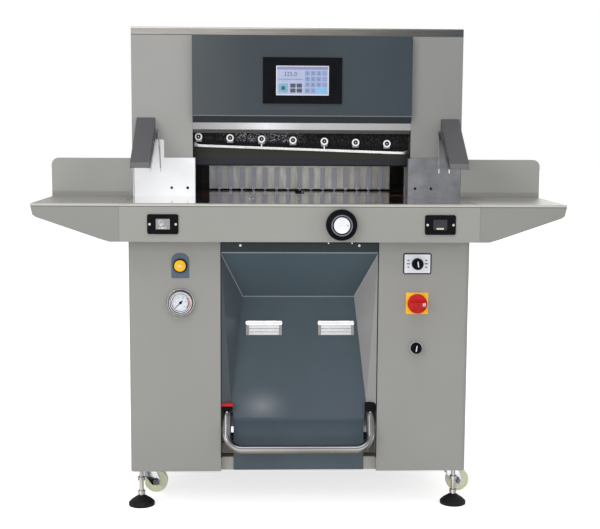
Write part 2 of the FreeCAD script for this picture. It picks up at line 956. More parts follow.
def rear_table():
    """Ribbed plate behind the cut, with side fences, the nut's slot and the screw's rear bearing."""
    deck = (table_top - size.rear_table_thickness, table_top)
    across = (frame_left + size.seat_gap, frame_right - size.seat_gap)
    end = rear_table_back
    parts = [box(across, (tower_back, end), deck)]
    rib_z = (deck[0] - size.table_rib_height, deck[0])
    for left in (across[0] + size.table_rib_inset, across[1] - size.table_rib_inset - size.table_rib_width):
        parts.append(box((left, left + size.table_rib_width), (tower_back, end), rib_z))
    fence_z = (table_top, table_top + size.fence_height)
    parts.append(box((across[0], across[0] + size.fence_wall), (tower_back, end), fence_z))
    parts.append(box((across[1] - size.fence_wall, across[1]), (tower_back, end), fence_z))
    bearing_y = screw_bearings()[1]
    bearing_low = screw_z - size.bearing_width / 2
    bearing_x = middle_span(size.throat_offset, size.bearing_width)
    parts.append(box(bearing_x, bearing_y, (bearing_low, deck[0])))
    journal = rod("y", (size.throat_offset, screw_z), bearing_y, size.journal_radius + size.shaft_gap)
    node("rear_table", cut(join(*parts), neck_slot(), journal))


# Front beam and side tables

def front_beam_cover():
    """Folded channel in front of the table, with two end plates and the holes for the controls."""
    half = size.beam_width / 2
    top = table_top
    shelf = front + size.beam_shelf
    lip = front + size.beam_lip
    channel = prism("YZ", [
        (front, beam_bottom), (shelf, beam_bottom), (shelf, beam_bottom + wall),
        (front + wall, beam_bottom + wall), (front + wall, top - wall), (lip, top - wall),
        (lip, top), (front, top)], (-half, half))
    channel = rounded(channel, size.beam_edge,
                      lambda edge: runs_along(edge, "x") and passes(edge, y=front, z=top))
    side_y = (front, front + size.beam_side_depth)
    ends = [box(mirrored_span((half - wall, half), side), side_y, (beam_bottom, top)) for side in (-1, 1)]
    skin = (front - wall, front + wall * 2)
    fit = size.seat_gap
    holes = [rod("y", (size.handwheel_x, control_z), skin, size.handwheel_shaft + size.shaft_gap)]
    for middle in (size.cut_button_left, size.cut_button_right):
        holes.append(box(middle_span(middle, size.sleeve_width + fit * 2), skin,
                         middle_span(control_z, size.sleeve_height + fit * 2)))
    node("front_beam_cover", cut(join(channel, *ends), *holes))


def apron_outline(side, inset):
    """Front view of a side table: deep at the machine, tapering to a thin tip."""
    root = size.beam_width / 2 + size.seat_gap
    tip = size.beam_width / 2 + size.side_table_reach
    low = beam_bottom + inset
    start = root - inset * 4
    corners = [
        (start, low),
        (root + size.apron_foot, low),
        (root + size.apron_knee_run, low + size.apron_knee_rise),
        (root + size.apron_tip_run - inset, low + size.apron_tip_rise),
        (tip - size.apron_end_inset - inset, low + size.apron_end_rise),
        (tip - inset, table_top - size.apron_edge),
        (tip - inset, table_top - inset),
        (start, table_top - inset)]
    return [(side * x, z) for x, z in corners]


def side_tables():
    for side, name in ((-1, "left_side_table"), (1, "right_side_table")):
        back = front + size.side_table_depth
        shell = cut(prism("XZ", apron_outline(side, length(0)), (front, back)),
                    prism("XZ", apron_outline(side, wall), (front + wall, back - wall)))
        root = size.beam_width / 2 + size.seat_gap
        tip = size.beam_width / 2 + size.side_table_reach
        splash_x = mirrored_span((root, tip), side)
        splash_top = table_top + size.splash_height
        splash_y = (back - wall, back - wall + size.splash_return)
        splash = box(splash_x, splash_y, (table_top - wall, splash_top))
        corner_x = side * tip
        splash = rounded(splash, size.splash_corner,
                         lambda edge: runs_along(edge, "y") and passes(edge, x=corner_x, z=splash_top))
        pan_x = mirrored_span((root + wall, tip - wall), side)
        pan = box(pan_x, (back, back + size.splash_return), (table_top, splash_top - wall))
        pan_corner = {"x": corner_x - side * wall, "z": splash_top - wall}
        pan = rounded(pan, size.splash_corner - wall,
                      lambda edge: runs_along(edge, "y") and passes(edge, **pan_corner))
        node(name, join(shell, cut(splash, pan)))


# Cabinet

def casing_holes(side):
    skin = (cabinet_front - wall, cabinet_front + wall * 2)
    knob_hole = size.knob_shaft + size.shaft_gap
    if side < 0:
        return [
            rod("y", (size.legend_x, push_z), skin, size.push_radius + size.cap_gap),
            rod("y", (size.pressure_x, pressure_z), skin, size.pressure_body + size.seat_gap)]
    return [
        rod("y", (size.selector_x, selector_z), skin, knob_hole),
        rod("y", (size.main_switch_x, main_switch_z), skin, knob_hole),
        rod("y", (size.key_x, key_z), skin, knob_hole)]


def cabinet_casings():
    """Folded boxes left and right of the niche, open below, above and behind."""
    for side, name in ((-1, "left_cabinet_casing"), (1, "right_cabinet_casing")):
        across = mirrored_span((size.niche_width / 2, size.cabinet_width / 2), side)
        hollow = mirrored_span((size.niche_width / 2 + wall, size.cabinet_width / 2 - wall), side)
        level = (size.cabinet_bottom, beam_bottom)
        outer = box(across, (cabinet_front, cabinet_back), level)
        corner_x = side * size.cabinet_width / 2
        outer = rounded(outer, size.cabinet_corner,
                        lambda edge: runs_along(edge, "z") and passes(edge, x=corner_x, y=cabinet_front))
        inner = box(hollow, (cabinet_front + wall, cabinet_back), (level[0], level[1] - wall))
        inner = rounded(inner, size.cabinet_corner - wall,
                        lambda edge: runs_along(edge, "z") and passes(edge, x=corner_x - side * wall,
                                                                      y=cabinet_front + wall))
        niche_side = (side * size.niche_width / 2, side * (size.niche_width / 2 + wall))
        niche_x = niche_side if side > 0 else (niche_side[1], niche_side[0])
        pivot = front + size.pedal_pivot_front
        notch = size.seat_gap
        inner_face = frame_right if side > 0 else frame_left
        outer_face = inner_face + side * size.frame_thickness
        frame_x = (inner_face, outer_face) if side > 0 else (outer_face, inner_face)
        front_bar = front_bar_span()
        bar_z = (size.cabinet_bottom, base_top + notch)
        back_start = cabinet_back - size.frame_inset - size.tube_size - notch
        pedal_y = middle_span(pivot, size.tube_size + notch * 2)
        shaft_hole = rod("x", (pivot, size.pedal_pivot_z), niche_x, size.pedal_shaft_radius + size.cap_gap)
        notches = [
            box(niche_x, (front_bar[0] - notch, front_bar[1] + notch), bar_z),
            box(niche_x, (back_start, cabinet_back), bar_z),
            box(niche_x, pedal_y, bar_z),
            shaft_hole,
            box((frame_x[0] - notch, frame_x[1] + notch),
                (front + size.frame_toe - notch, front + size.frame_back + notch), level)]
        tank_start = front + size.tank_front
        for bar_start in (tank_start, tank_start + size.tank_depth - size.tube_size):
            notches.append(box(niche_x, (bar_start - notch, bar_start + size.tube_size + notch), bar_z))
        node(name, cut(outer, inner, *casing_holes(side), *notches))


def cabinet_back_panel():
    edge = size.cabinet_width / 2
    plate_y = (cabinet_back + size.seat_gap, cabinet_back + size.seat_gap + wall)
    plate = box((-edge, edge), plate_y, (size.cabinet_bottom, beam_bottom))
    flange_x = size.niche_width / 2 - size.seat_gap
    flange = box((-flange_x, flange_x), (front + size.frame_back, plate_y[0]),
                 (beam_bottom - wall, beam_bottom))
    vents = []
    for index in range(int(size.vent_count.value)):
        low = base_top + size.vent_pitch * (1 + index)
        vents.append(box(middle_span(0, size.vent_width), plate_y, (low, low + size.vent_height)))
    node("cabinet_back_panel", join(cut(plate, *vents), flange))


def solid_from_faces(points, faces):
    """A closed solid from named corners and faces given by those names."""
    made = []
    for names in faces:
        corners = [points[name] for name in names]
        made.append(Part.Face(Part.makePolygon(corners + [corners[0]])))
    solid = Part.Solid(Part.makeShell(made))
    if solid.Volume < 0:
        solid.reverse()
    return solid


def cover_lean():
    """How far the main face leans back for each millimetre of height."""
    run = size.cover_ridge_depth - size.skirt_setback
    return run / (ridge_z - skirt_bend_z)


def main_face_y(height):
    """Where the cover's main face lies at a height."""
    return cabinet_front + size.skirt_setback + (length(height) - skirt_bend_z) * cover_lean()


def cover_sheet(back):
    """The folded cover as a solid: its front skin and the same skin moved back."""
    edge = size.niche_width / 2 - size.seat_gap
    flush = cabinet_front
    skirt = cabinet_front + size.skirt_setback
    corners = {
        "top": (edge, flush, strip_top), "fold": (edge, flush, fold_z),
        "ridge": (size.cover_ridge_half, cabinet_front + size.cover_ridge_depth, ridge_z),
        "side": (edge, flush, notch_z), "notch": (size.cover_notch_half, main_face_y(notch_z), notch_z),
        "bend": (size.skirt_half, skirt, skirt_bend_z), "hem": (size.skirt_half, skirt, size.cabinet_bottom)}
    points = {}
    for name, (x, y, z) in corners.items():
        for mark, side in (("L", -1), ("R", 1)):
            points[name + mark] = FreeCAD.Vector(side * float(x), float(y), float(z))
            points[name + mark + "b"] = FreeCAD.Vector(side * float(x), float(y) + back, float(z))
    skin = [
        ("topL", "topR", "foldR", "foldL"), ("foldL", "foldR", "ridgeR", "ridgeL"),
        ("ridgeL", "ridgeR", "notchR", "notchL"), ("notchL", "notchR", "bendR", "bendL"),
        ("bendL", "bendR", "hemR", "hemL")]
    for mark in ("L", "R"):
        skin.append(("fold" + mark, "ridge" + mark, "notch" + mark))
        skin.append(("fold" + mark, "notch" + mark, "side" + mark))
    rim = ["topL", "topR", "foldR", "sideR", "notchR", "bendR",
           "hemR", "hemL", "bendL", "notchL", "sideL", "foldL"]
    faces = list(skin)
    faces += [tuple(name + "b" for name in face) for face in skin]
    faces += [(one, two, two + "b", one + "b") for one, two in zip(rim, rim[1:] + rim[:1])]
    return solid_from_faces(points, faces)


def pull_block(inset, start, end):
    """A block of the pull's outline, less an inset, about the origin."""
    across = middle_span(0, size.pull_width - inset)
    return box(across, (start, end), middle_span(0, size.pull_height - inset))


def centre_service_cover():
    """Folded cover of the niche, leaning in at knee height, with windows for the two pulls."""
    skin = doc.addObject("Part::Feature", "cover_sheet")
    skin.Shape = cover_sheet(float(wall))
    lean = math.degrees(math.atan(float(cover_lean())))
    windows = []
    pulls = []
    centre_y = main_face_y(pull_z)
    for side in (-1, 1):
        x = size.pull_x + side * size.pull_spacing / 2
        window = pull_block(size.pull_rim, -size.pull_rim, size.pull_cup_depth)
        plate = pull_block(0, -size.pull_plate, 0)
        cup = pull_block(size.pull_rim + size.seat_gap * 2, -size.pull_plate, size.pull_cup_depth)
        hollow = pull_block(size.pull_rim * 2, -size.pull_plate, size.pull_cup_depth - wall)
        for made, kept in ((group(window), windows), (cut(join(plate, cup), hollow), pulls)):
            turn(made, FreeCAD.Vector(1, 0, 0), -lean)
            kept.append(place(made, x, centre_y, pull_z))
    node("centre_service_cover", cut(skin, *windows))
    node("cover_pulls", group(*pulls))


# Tower

def tower_casing():
    """Folded wrap: two front columns, the sides and the back, with the ears of the rear cover's hinge."""
    half = size.tower_width / 2
    low = beam_bottom
    outer = box((-half, half), (tower_front, tower_back), (low, lid_bottom))
    inner = box((-half + wall, half - wall), (tower_front + wall, tower_back - wall), (low, lid_bottom))
    opening = box((opening_left, opening_right), (tower_front, tower_front + wall), (low, lid_bottom))
    block_gap = guide_block_top + size.seat_gap
    block_end = front + size.block_front + size.block_depth + size.seat_gap
    block_notch = box((-half, half), (tower_front, block_end), (low, block_gap))
    back_skin = (tower_back - wall, tower_back)
    rear_opening_top = table_top + size.rear_opening_height
    rear_room = box((frame_left, frame_right), back_skin, (table_bottom, rear_opening_top))
    nut_room = box(middle_span(size.throat_offset, size.bearing_width + size.travel_margin), back_skin,
                   (low, table_bottom))
    shell = cut(outer, inner, opening, block_notch, rear_room, nut_room)
    ears = []
    pins = []
    hinge_y = tower_back + size.hood_hinge_back
    hinge_z = table_top + size.hood_hinge_rise
    for side in (-1, 1):
        knuckle = size.throat_offset + side * size.hood_knuckle_x
        for end in (-1, 1):
            near = knuckle + end * (size.hood_knuckle / 2 + size.cap_gap)
            far = near + end * size.hood_ear
            ear_x = (near, far) if end > 0 else (far, near)
            radius = size.hood_hinge_radius
            block = box(ear_x, (tower_back, hinge_y), (hinge_z - radius, hinge_z + radius))
            ears.append(join(block, rod("x", (hinge_y, hinge_z), ear_x, radius)))
            pins.append(rod("x", (hinge_y, hinge_z), ear_x, size.hood_pin_radius + size.shaft_gap))
    node("tower_casing", cut(join(shell, *ears), *pins))


def tower_top_lid():
    half = size.tower_width / 2
    outer = box((-half, half), (tower_front, tower_back), (lid_bottom, size.machine_height))
    outer = rounded(outer, size.apron_edge,
                    lambda edge: runs_along(edge, "x") and passes(edge, y=tower_front, z=size.machine_height))
    hollow = box((-half + wall, half - wall), (tower_front + wall, tower_back - wall),
                 (lid_bottom, size.machine_height - wall))
    node("tower_top_lid", cut(outer, hollow))


def tower_front_cover():
    """Pan with a bevelled lower edge; its flanges lie behind the columns' sheets."""
    gap = size.cap_gap
    across = (opening_left + gap, opening_right - gap)
    face = tower_front - size.cover_proud
    behind = tower_front + wall + size.seat_gap
    top = cover_top
    knee = cover_knee
    low = cover_bevel_bottom
    outer = prism("YZ", [
        (face, knee), (tower_front, low), (behind + wall, low), (behind + wall, top), (face, top)], across)
    hollow = prism("YZ", [
        (face + wall, knee + wall), (tower_front, low + wall), (behind + wall, low + wall),
        (behind + wall, top - wall), (face + wall, top - wall)], (across[0] + wall, across[1] - wall))
    flange_y = (behind, behind + wall)
    flanges = [
        box((across[0] - size.cover_flange, across[0] + wall), flange_y, (low, top)),
        box((across[1] - wall, across[1] + size.cover_flange), flange_y, (low, top))]
    inset = size.screen_body_inset - size.seat_gap
    window = box(middle_span(size.screen_x, size.screen_width - inset * 2), (face - wall, face + wall * 2),
                 (screen_bottom + inset, screen_bottom + size.screen_height - inset))
    node("tower_front_cover", cut(join(cut(outer, hollow), *flanges), window))


def throat_lintel():
    """Bright strip over the throat with a lip folded back below it."""
    gap = size.cap_gap
    across = (opening_left + gap, opening_right - gap)
    behind = tower_front + wall + size.seat_gap
    top = cover_bevel_bottom - size.seat_gap
    low = cover_bevel_bottom - size.lintel_height
    lip = low - size.lintel_lip_height
    deep = tower_front + size.lintel_lip_depth
    strip = prism("YZ", [
        (tower_front, low), (deep, lip), (deep + wall, lip), (deep + wall, lip + wall),
        (tower_front + wall, low + wall), (tower_front + wall, top), (tower_front, top)], across)
    flange_y = (behind, behind + wall)
    web_y = (tower_front, behind + wall)
    level = (low + wall, top)
    tabs = [
        box((across[0] - size.cover_flange, across[0] + wall), flange_y, level),
        box((across[0], across[0] + wall), web_y, level),
        box((across[1] - wall, across[1] + size.cover_flange), flange_y, level),
        box((across[1] - wall, across[1]), web_y, level)]
    node("throat_lintel", join(strip, *tabs))


def touch_screen():
    face = tower_front - size.cover_proud
    outer_x = middle_span(size.screen_x, size.screen_width)
    outer_z = (screen_bottom, screen_bottom + size.screen_height)
    plate = box(outer_x, (face - size.screen_proud, face), outer_z)
    inset = size.screen_body_inset
    body = box((outer_x[0] + inset, outer_x[1] - inset), (face, face + size.screen_body_depth),
               (outer_z[0] + inset, outer_z[1] - inset))
    middle_z = screen_bottom + size.screen_height / 2
    display = box(middle_span(size.screen_x, size.display_width),
                  (face - size.screen_proud, face - size.screen_proud + size.display_depth),
                  middle_span(middle_z, size.display_height))
    node("touch_screen", cut(join(plate, body), display))


# Side guide blocks with the light guards

def guide_block(x, tab_x):
    y = (front + size.block_front, front + size.block_front + size.block_depth)
    block = box(x, y, (table_top, guide_block_top))
    tab_top = guide_block_top + size.tab_height
    tab = box(tab_x, (y[0], y[0] + size.tab_thickness), (guide_block_top, tab_top))
    tab = rounded(tab, size.tab_thickness,
                  lambda edge: runs_along(edge, "y") and passes(edge, z=tab_top))
    return join(block, tab)


def block_bolt_holes(first, step):
    y = front + size.block_front
    holes = []
    for index in range(2):
        centre = (first + step * index, table_top + size.block_bolt_rise)
        holes.append(rod("y", centre, (y, y + size.block_bolt_depth), size.block_bolt_radius))
    return holes


def side_guides():
    left_face = size.throat_offset - size.cutting_width / 2
    right_face = size.throat_offset + size.cutting_width / 2
    left_tab = (left_face - size.tab_inset - size.tab_width, left_face - size.tab_inset)
    right_tab = (right_face + size.tab_inset, right_face + size.tab_inset + size.tab_width)
    left = guide_block((left_face - size.left_block_width, left_face), left_tab)
    right = guide_block((right_face, right_face + size.right_block_width), right_tab)
    left_bolts = block_bolt_holes(left_face - size.block_bolt_first, -size.block_bolt_pitch)
    right_bolts = block_bolt_holes(right_face + size.block_bolt_first, size.block_bolt_pitch)
    node("side_guide_left", cut(left, *left_bolts))
    node("side_guide_right", cut(right, *right_bolts))


def guard_inner_edge(side):
    return size.guard_inner_x + (size.guard_right_shift if side > 0 else length(0))


def light_guards():
    """Sloping housings of the light curtain, open below, and the two brackets beside each."""
    back = tower_front - size.seat_gap
    nose = front + size.guard_nose_front
    high = table_top + size.guard_rise
    deep = size.guard_depth
    tip = table_top + size.guard_nose_rise
    chin = tip - size.guard_nose_drop
    chamfer = size.guard_nose_chamfer
    outer = [
        (back, high), (nose + chamfer, tip + chamfer / 2), (nose, tip - chamfer / 2), (nose, chin),
        (nose + chamfer, chin - chamfer / 2), (back, high - deep)]
    inner = [
        (back + wall, high - wall), (nose + wall, tip - wall),
        (nose + wall, chin - deep), (back + wall, chin - deep)]
    bracket_top = table_top + size.bracket_rise
    bracket_nose = table_top + size.bracket_nose_rise
    guards = []
    brackets = []
    for side in (-1, 1):
        edge = guard_inner_edge(side)
        shell_x = mirrored_span((edge, edge + size.guard_width), side)
        hollow_x = mirrored_span((edge + wall, edge + size.guard_width - wall), side)
        guards.append(cut(prism("YZ", outer, shell_x), prism("YZ", inner, hollow_x)))
        reach = back - nose
        strip = [
            (-reach, bracket_nose), (length(0), bracket_top),
            (length(0), bracket_top - size.bracket_width), (-reach, bracket_nose - size.bracket_width / 2)]
        for swing in (0, 1):
            beside = size.bracket_thickness / 2 + size.bracket_thickness * size.bracket_step * swing
            middle = edge - size.bracket_gap - beside
            leg = prism("YZ", strip, middle_span(length(0), size.bracket_thickness))
            turn(leg, FreeCAD.Vector(0, 0, 1), side * swing * -float(size.bracket_spread))
            brackets.append(place(leg, side * middle, back, length(0)))
    node("light_guards", group(*guards))
    node("guard_brackets", group(*brackets))


# Knife

def edge_height(x):
    """Height of the cutting edge at rest."""
    return knife_edge_z - (length(x) - size.knife_edge_x) * size.rake_slope


def bolt_places():
    places = []
    for index in range(int(size.bolt_count.value)):
        x = size.bolt_first_x + size.bolt_pitch * index
        places.append((x, edge_height(x) + size.bolt_rise))
    return places


def knife_carrier():
    """Black plate with two ears on the guide pins and a pocket round each knife bolt."""
    left, right = middle_span(size.carrier_x, size.carrier_width)
    top = knife_edge_z + size.carrier_height
    chamfer = size.carrier_chamfer
    rise = size.carrier_rise
    corners = [
        (left + chamfer, edge_height(left + chamfer) + rise),
        (right - chamfer, edge_height(right - chamfer) + rise),
        (right, edge_height(right) + rise + chamfer / 2), (right, top)]
    ear_top = pin_z + size.ear_rise
    for pin_x in (right_pin_x, left_pin_x):
        ear_left, ear_right = middle_span(pin_x, size.ear_width)
        corners += [(ear_right, top), (ear_right, ear_top), (ear_left, ear_top), (ear_left, top)]
    corners += [(left, top), (left, edge_height(left) + rise + chamfer / 2)]
    y = (carrier_front, knife_plane)
    bores = [rod("y", (right_pin_x, pin_z), y, size.pin_radius + size.shaft_gap)]
    slot_half = size.pin_radius + size.ear_slot_gap / 2
    slot_z = (pin_z - slot_half, pin_z + slot_half + size.ear_slot_rise)
    bores.append(box(middle_span(left_pin_x, slot_half * 2), y, slot_z))
    for x, z in bolt_places():
        bores.append(rod("y", (x, z), y, size.bolt_radius + size.shaft_gap))
        bores.append(box(middle_span(x, size.pocket_width), (y[0], y[0] + size.pocket_depth),
                         (z - size.pocket_below, z + size.pocket_above)))
    node("knife_carrier", cut(prism("XZ", corners, y), *bores))


def knife_blade():
    """Ground blade: flat towards the clamp, bevelled towards the operator."""
    half = size.knife_length / 2
    section = [
        (length(0), size.bevel_height), (size.knife_thickness - size.bevel_flat, length(0)),
        (size.knife_thickness, length(0)), (size.knife_thickness, size.knife_height),
        (length(0), size.knife_height)]
    blade = prism("YZ", section, (-half, half))
    turn(blade, FreeCAD.Vector(0, 1, 0), rake_angle)
    place(blade, size.knife_edge_x, knife_plane, knife_edge_z)
    back = (knife_plane, knife_plane + size.knife_thickness)
    holes = [rod("y", centre, back, size.bolt_radius + size.shaft_gap) for centre in bolt_places()]
    node("knife_blade", cut(blade, *holes))


def knife_bolts():
    """Socket-head bolts with ring washers, sunk in the carrier's pockets."""
    seat = carrier_front + size.pocket_depth
    under_head = seat - size.washer_thickness
    face = under_head - size.bolt_head_height
    bolts = []
    for centre in bolt_places():
        parts = join(
            rod("y", centre, (under_head, seat), size.washer_radius),
            rod("y", centre, (face, under_head), size.bolt_head_radius),
            rod("y", centre, (seat, knife_plane + size.bolt_grip), size.bolt_radius))
        bolts.append(cut(parts, rod("y", centre, (face, face + size.bolt_socket), size.bolt_socket)))
    node("knife_bolts", group(*bolts))


def leaning(item, pin_x, y, z):
    """Puts an upright item, made about the origin, on the slanted line of travel through a pin."""
    held = turn(group(item), FreeCAD.Vector(0, 1, 0), draw_angle)
    return place(held, pin_x, y, z)


def knife_guide_shoes():
    """Bronze shoes with their pins; the right one reaches back to the cylinder's ram."""
    guide_y = front + size.upper_beam_front
    fit = size.slide_gap
    y = (guide_y - size.seat_gap, guide_y + size.guide_plate_depth + size.seat_gap)
    shoes = []
    for pin_x in (left_pin_x, right_pin_x):
        shoe_z = middle_span(0, size.shoe_length)
        block = box(middle_span(0, size.shoe_width - fit * 2), (0, y[1] - y[0]), shoe_z)
        block = leaning(block, pin_x, y[0], pin_z)
        keeper = box(middle_span(0, size.keeper_width), (0, size.keeper_thickness), shoe_z)
        keeper = leaning(keeper, pin_x, y[1], pin_z)
        pin = rod("y", (pin_x, pin_z), (carrier_front, y[1]), size.pin_radius)
        spacer = rod("y", (pin_x, pin_z), (knife_plane + size.seat_gap, y[0]), size.spacer_radius)
        parts = [block, keeper, pin, spacer]
        if pin_x is right_pin_x:
            ram_y = front + size.ram_y
            tail_end = ram_y + size.ram_radius + size.travel_margin
            parts.append(rod("y", (pin_x, pin_z), (y[1], tail_end), size.pin_radius))
            tip = knife_barrel_span()[1] - size.barrel_cap - size.travel_margin - size.piston_length
            ram = rod("z", (0, 0), (tip, size.ram_radius), size.ram_radius)
            piston_radius = size.knife_barrel_radius - size.barrel_wall - size.shaft_gap
            piston = rod("z", (0, 0), (tip, tip + size.piston_length), piston_radius)
            parts.append(leaning(join(ram, piston), pin_x, ram_y, pin_z))
        shoes.append(join(*parts))
    node("knife_guide_shoes", group(*shoes))


def barrel(radius, top, bottom, ram_radius):
    """A cylinder's barrel about its own axis: a gland above and a closed end below."""
    cap = size.barrel_cap
    outer = rod("z", (0, 0), (bottom, top), radius)
    chamber = rod("z", (0, 0), (bottom + cap, top - cap), radius - size.barrel_wall)
    gland = rod("z", (0, 0), (top - cap, top), ram_radius + size.shaft_gap)
    return cut(outer, chamber, gland)


def knife_barrel_span():
    """The barrel's two ends along its leaning axis, from the pin at rest."""
    top = -size.knife_barrel_drop
    stroke = size.knife_drop / math.cos(math.radians(draw_angle))
    return top - size.barrel_cap * 2 - size.piston_length - stroke - size.stroke_margin, top


def knife_cylinder():
    """Hydraulic cylinder that pulls the knife down along its slanted path."""
    low, top = knife_barrel_span()
    ram_y = front + size.ram_y
    radius = size.knife_barrel_radius
    tube_body = leaning(barrel(radius, top, low, size.ram_radius), right_pin_x, ram_y, pin_z)
    room = leaning(rod("z", (0, 0), (low, top), radius), right_pin_x, ram_y, pin_z)
    lug_low = pin_z + (low + top) / 2
    drift = (pin_z - lug_low) * (size.knife_draw / size.knife_drop)
    lug = box((right_pin_x - drift, frame_right), middle_span(ram_y, size.lug_size),
              (lug_low, lug_low + size.lug_size))
    node("knife_cylinder", join(tube_body, cut(lug, room)))


# Clamp

def clamp_beam():
    """Painted beam with two guide rods and the ram that presses it down."""
    across = middle_span(size.throat_offset, size.clamp_width)
    y = (front + size.clamp_front, front + size.clamp_front + size.clamp_depth)
    top = clamp_top
    parts = [box(across, y, (clamp_bottom, top))]
    for side in (-1, 1):
        x = size.throat_offset + side * size.clamp_rod_spacing / 2
        rod_z = (top, frame_top - size.clamp_rod_margin)
        parts.append(rod("z", (x, clamp_middle), rod_z, size.clamp_rod_radius))
    centre = (size.throat_offset, clamp_middle)
    piston_top = clamp_barrel_top() - size.clamp_piston_drop
    piston_bottom = piston_top - size.piston_length
    parts.append(rod("z", centre, (top, piston_bottom), size.ram_radius))
    piston_radius = size.clamp_barrel_radius - size.barrel_wall - size.shaft_gap
    parts.append(rod("z", centre, (piston_bottom, piston_top), piston_radius))
    node("clamp_beam", join(*parts))


def clamp_barrel_top():
    return frame_top - size.clamp_barrel_margin


def clamp_cylinder():
    centre = (size.throat_offset, clamp_middle)
    top = clamp_barrel_top()
    cap = size.barrel_cap
    stroke_end = top - size.clamp_piston_drop - size.piston_length - size.clamp_drop
    low = stroke_end - size.stroke_margin - cap
    flange_low = upper_beam_top
    outer = join(
        rod("z", centre, (low, top), size.clamp_barrel_radius),
        rod("z", centre, (flange_low, flange_low + size.clamp_flange_height), size.clamp_flange_radius))
    chamber = rod("z", centre, (low + cap, top - cap), size.clamp_barrel_radius - size.barrel_wall)
    gland = rod("z", centre, (low, low + cap), size.ram_radius + size.shaft_gap)
    node("clamp_cylinder", cut(outer, chamber, gland))


# Backgauge

def backgauge_comb():
    """Aluminium gauge: a plate with upright ribs whose feet end in points."""
    face = front + size.gauge_face
    low = table_top + size.gauge_foot_gap
    top = low + size.gauge_height
    across = middle_span(size.gauge_x, size.gauge_width)
    parts = [
        box(across, (face + size.rib_proud, face + size.rib_proud + size.gauge_plate), (low, top)),
        box(across, (face + size.rib_proud, face + size.gauge_depth), (low, low + size.gauge_plate))]
    first = size.gauge_x - size.rib_pitch * (size.rib_count - 1) / 2
    for index in range(int(size.rib_count.value)):
        x = first + size.rib_pitch * index
        left, right = middle_span(x, size.rib_width)
        point = low + size.rib_width / 2
        rib_top = top - size.rib_top_gap
        outline = [(left, point), (x, low), (right, point), (right, rib_top), (left, rib_top)]
        parts.append(prism("XZ", outline, (face, face + size.rib_proud)))
    node("backgauge_comb", join(*parts))


def backgauge_carriage():
    """The nut under the table and the neck through its slot, up to the gauge's foot."""
    y = middle_span(nut_middle, size.nut_length)
    neck_y = middle_span(nut_middle, size.neck_length)
    nut_z = middle_span(screw_z, size.nut_height)
    foot = table_top + size.gauge_foot_gap
    body = join(
        box(middle_span(size.throat_offset, size.nut_width), y, nut_z),
        box(middle_span(size.throat_offset, size.neck_width), neck_y, (nut_z[1], foot)))
    bore = rod("y", (size.throat_offset, screw_z), y, size.screw_radius + size.shaft_gap)
    node("backgauge_carriage", cut(body, bore))


def lead_screw():
    """The threaded rod with its two journals; rings stand for the thread's crests."""
    ahead, behind = screw_bearings()
    start = ahead[1] + size.seat_gap
    end = behind[0] - size.seat_gap
    core = size.screw_radius - size.thread_depth
    journal = size.journal_radius
    count = int((end - start).value // size.thread_pitch.value) - 1
    corners = [(0, start - size.journal_length), (journal, start - size.journal_length), (journal, start)]
    land = size.thread_pitch / 10
    flank = size.thread_pitch / 4
    for index in range(count):
        low = start + size.thread_pitch * index + land
        high = low + size.thread_pitch - land * 2
        corners += [
            (core, low), (size.screw_radius, low + flank),
            (size.screw_radius, high - flank), (core, high)]
    tip = end + size.journal_length
    corners += [(core, end), (journal, end), (journal, tip), (0, tip)]
    profile = [FreeCAD.Vector(float(radius), float(along), 0) for radius, along in corners]
    face = Part.Face(Part.makePolygon(profile + [profile[0]]))
    screw = doc.addObject("Part::Feature", "lead_screw")
    screw.Shape = face.revolve(FreeCAD.Vector(), FreeCAD.Vector(0, 1, 0), 360)
    node("lead_screw", place(screw, size.throat_offset, length(0), screw_z))


def backgauge_motor():
    end = front + size.screw_start
    flange_x = middle_span(size.throat_offset, size.bearing_width)
    flange_z = middle_span(screw_z, size.bearing_width)
    start = end - size.motor_length
    node("backgauge_motor", join(
        box(flange_x, (end - size.motor_flange, end), flange_z),
        rod("y", (size.throat_offset, screw_z), (start, end), size.motor_radius)))


# Hydraulic tank and pump

def hydraulics():
    x = (size.tank_left, size.tank_left + size.tank_width)
    y = (front + size.tank_front, front + size.tank_front + size.tank_depth)
    z = (base_top, base_top + size.tank_height)
    tank = rounded(box(x, y, z), size.tank_corner, lambda edge: runs_along(edge, "z"))
    shell = size.tank_wall
    hollow = box((x[0] + shell, x[1] - shell), (y[0] + shell, y[1] - shell), (z[0] + shell, z[1] - shell))
    centre = ((x[0] + x[1]) / 2, (y[0] + y[1]) / 2)
    node("oil_tank", cut(tank, hollow))
    top = z[1]
    flange = top + size.pump_flange_height
    node("pump_motor", join(
        rod("z", centre, (top, flange), size.pump_flange),
        rod("z", centre, (flange, flange + size.pump_height), size.pump_radius)))


# Controls

def bezel(middle):
    """Black frame with a sleeve that goes through the beam's sheet."""
    z = control_z
    plate = box(middle_span(middle, size.bezel_width), (front - size.bezel_proud, front),
                middle_span(z, size.bezel_height))
    plate = rounded(plate, size.bezel_corner, lambda edge: runs_along(edge, "y"))
    through = (front - size.bezel_proud, front + size.sleeve_depth)
    sleeve = box(middle_span(middle, size.sleeve_width), through, middle_span(z, size.sleeve_height))
    gap = size.cap_gap * 2
    window = box(middle_span(middle, size.cap_width + gap), through, middle_span(z, size.cap_height + gap))
    return cut(join(plate, sleeve), window)


def cut_buttons():
    node("cut_button_bezels", group(bezel(size.cut_button_left), bezel(size.cut_button_right)))
    for name, middle in (("left_cut_button", size.cut_button_left),
                         ("right_cut_button", size.cut_button_right)):
        start = front - size.bezel_proud + size.cap_recess
        cap = box(middle_span(middle, size.cap_width), (start, start + size.cap_depth),
                  middle_span(control_z, size.cap_height))
        node(name, rounded(cap, size.cap_edge, lambda edge: passes(edge, y=start)))


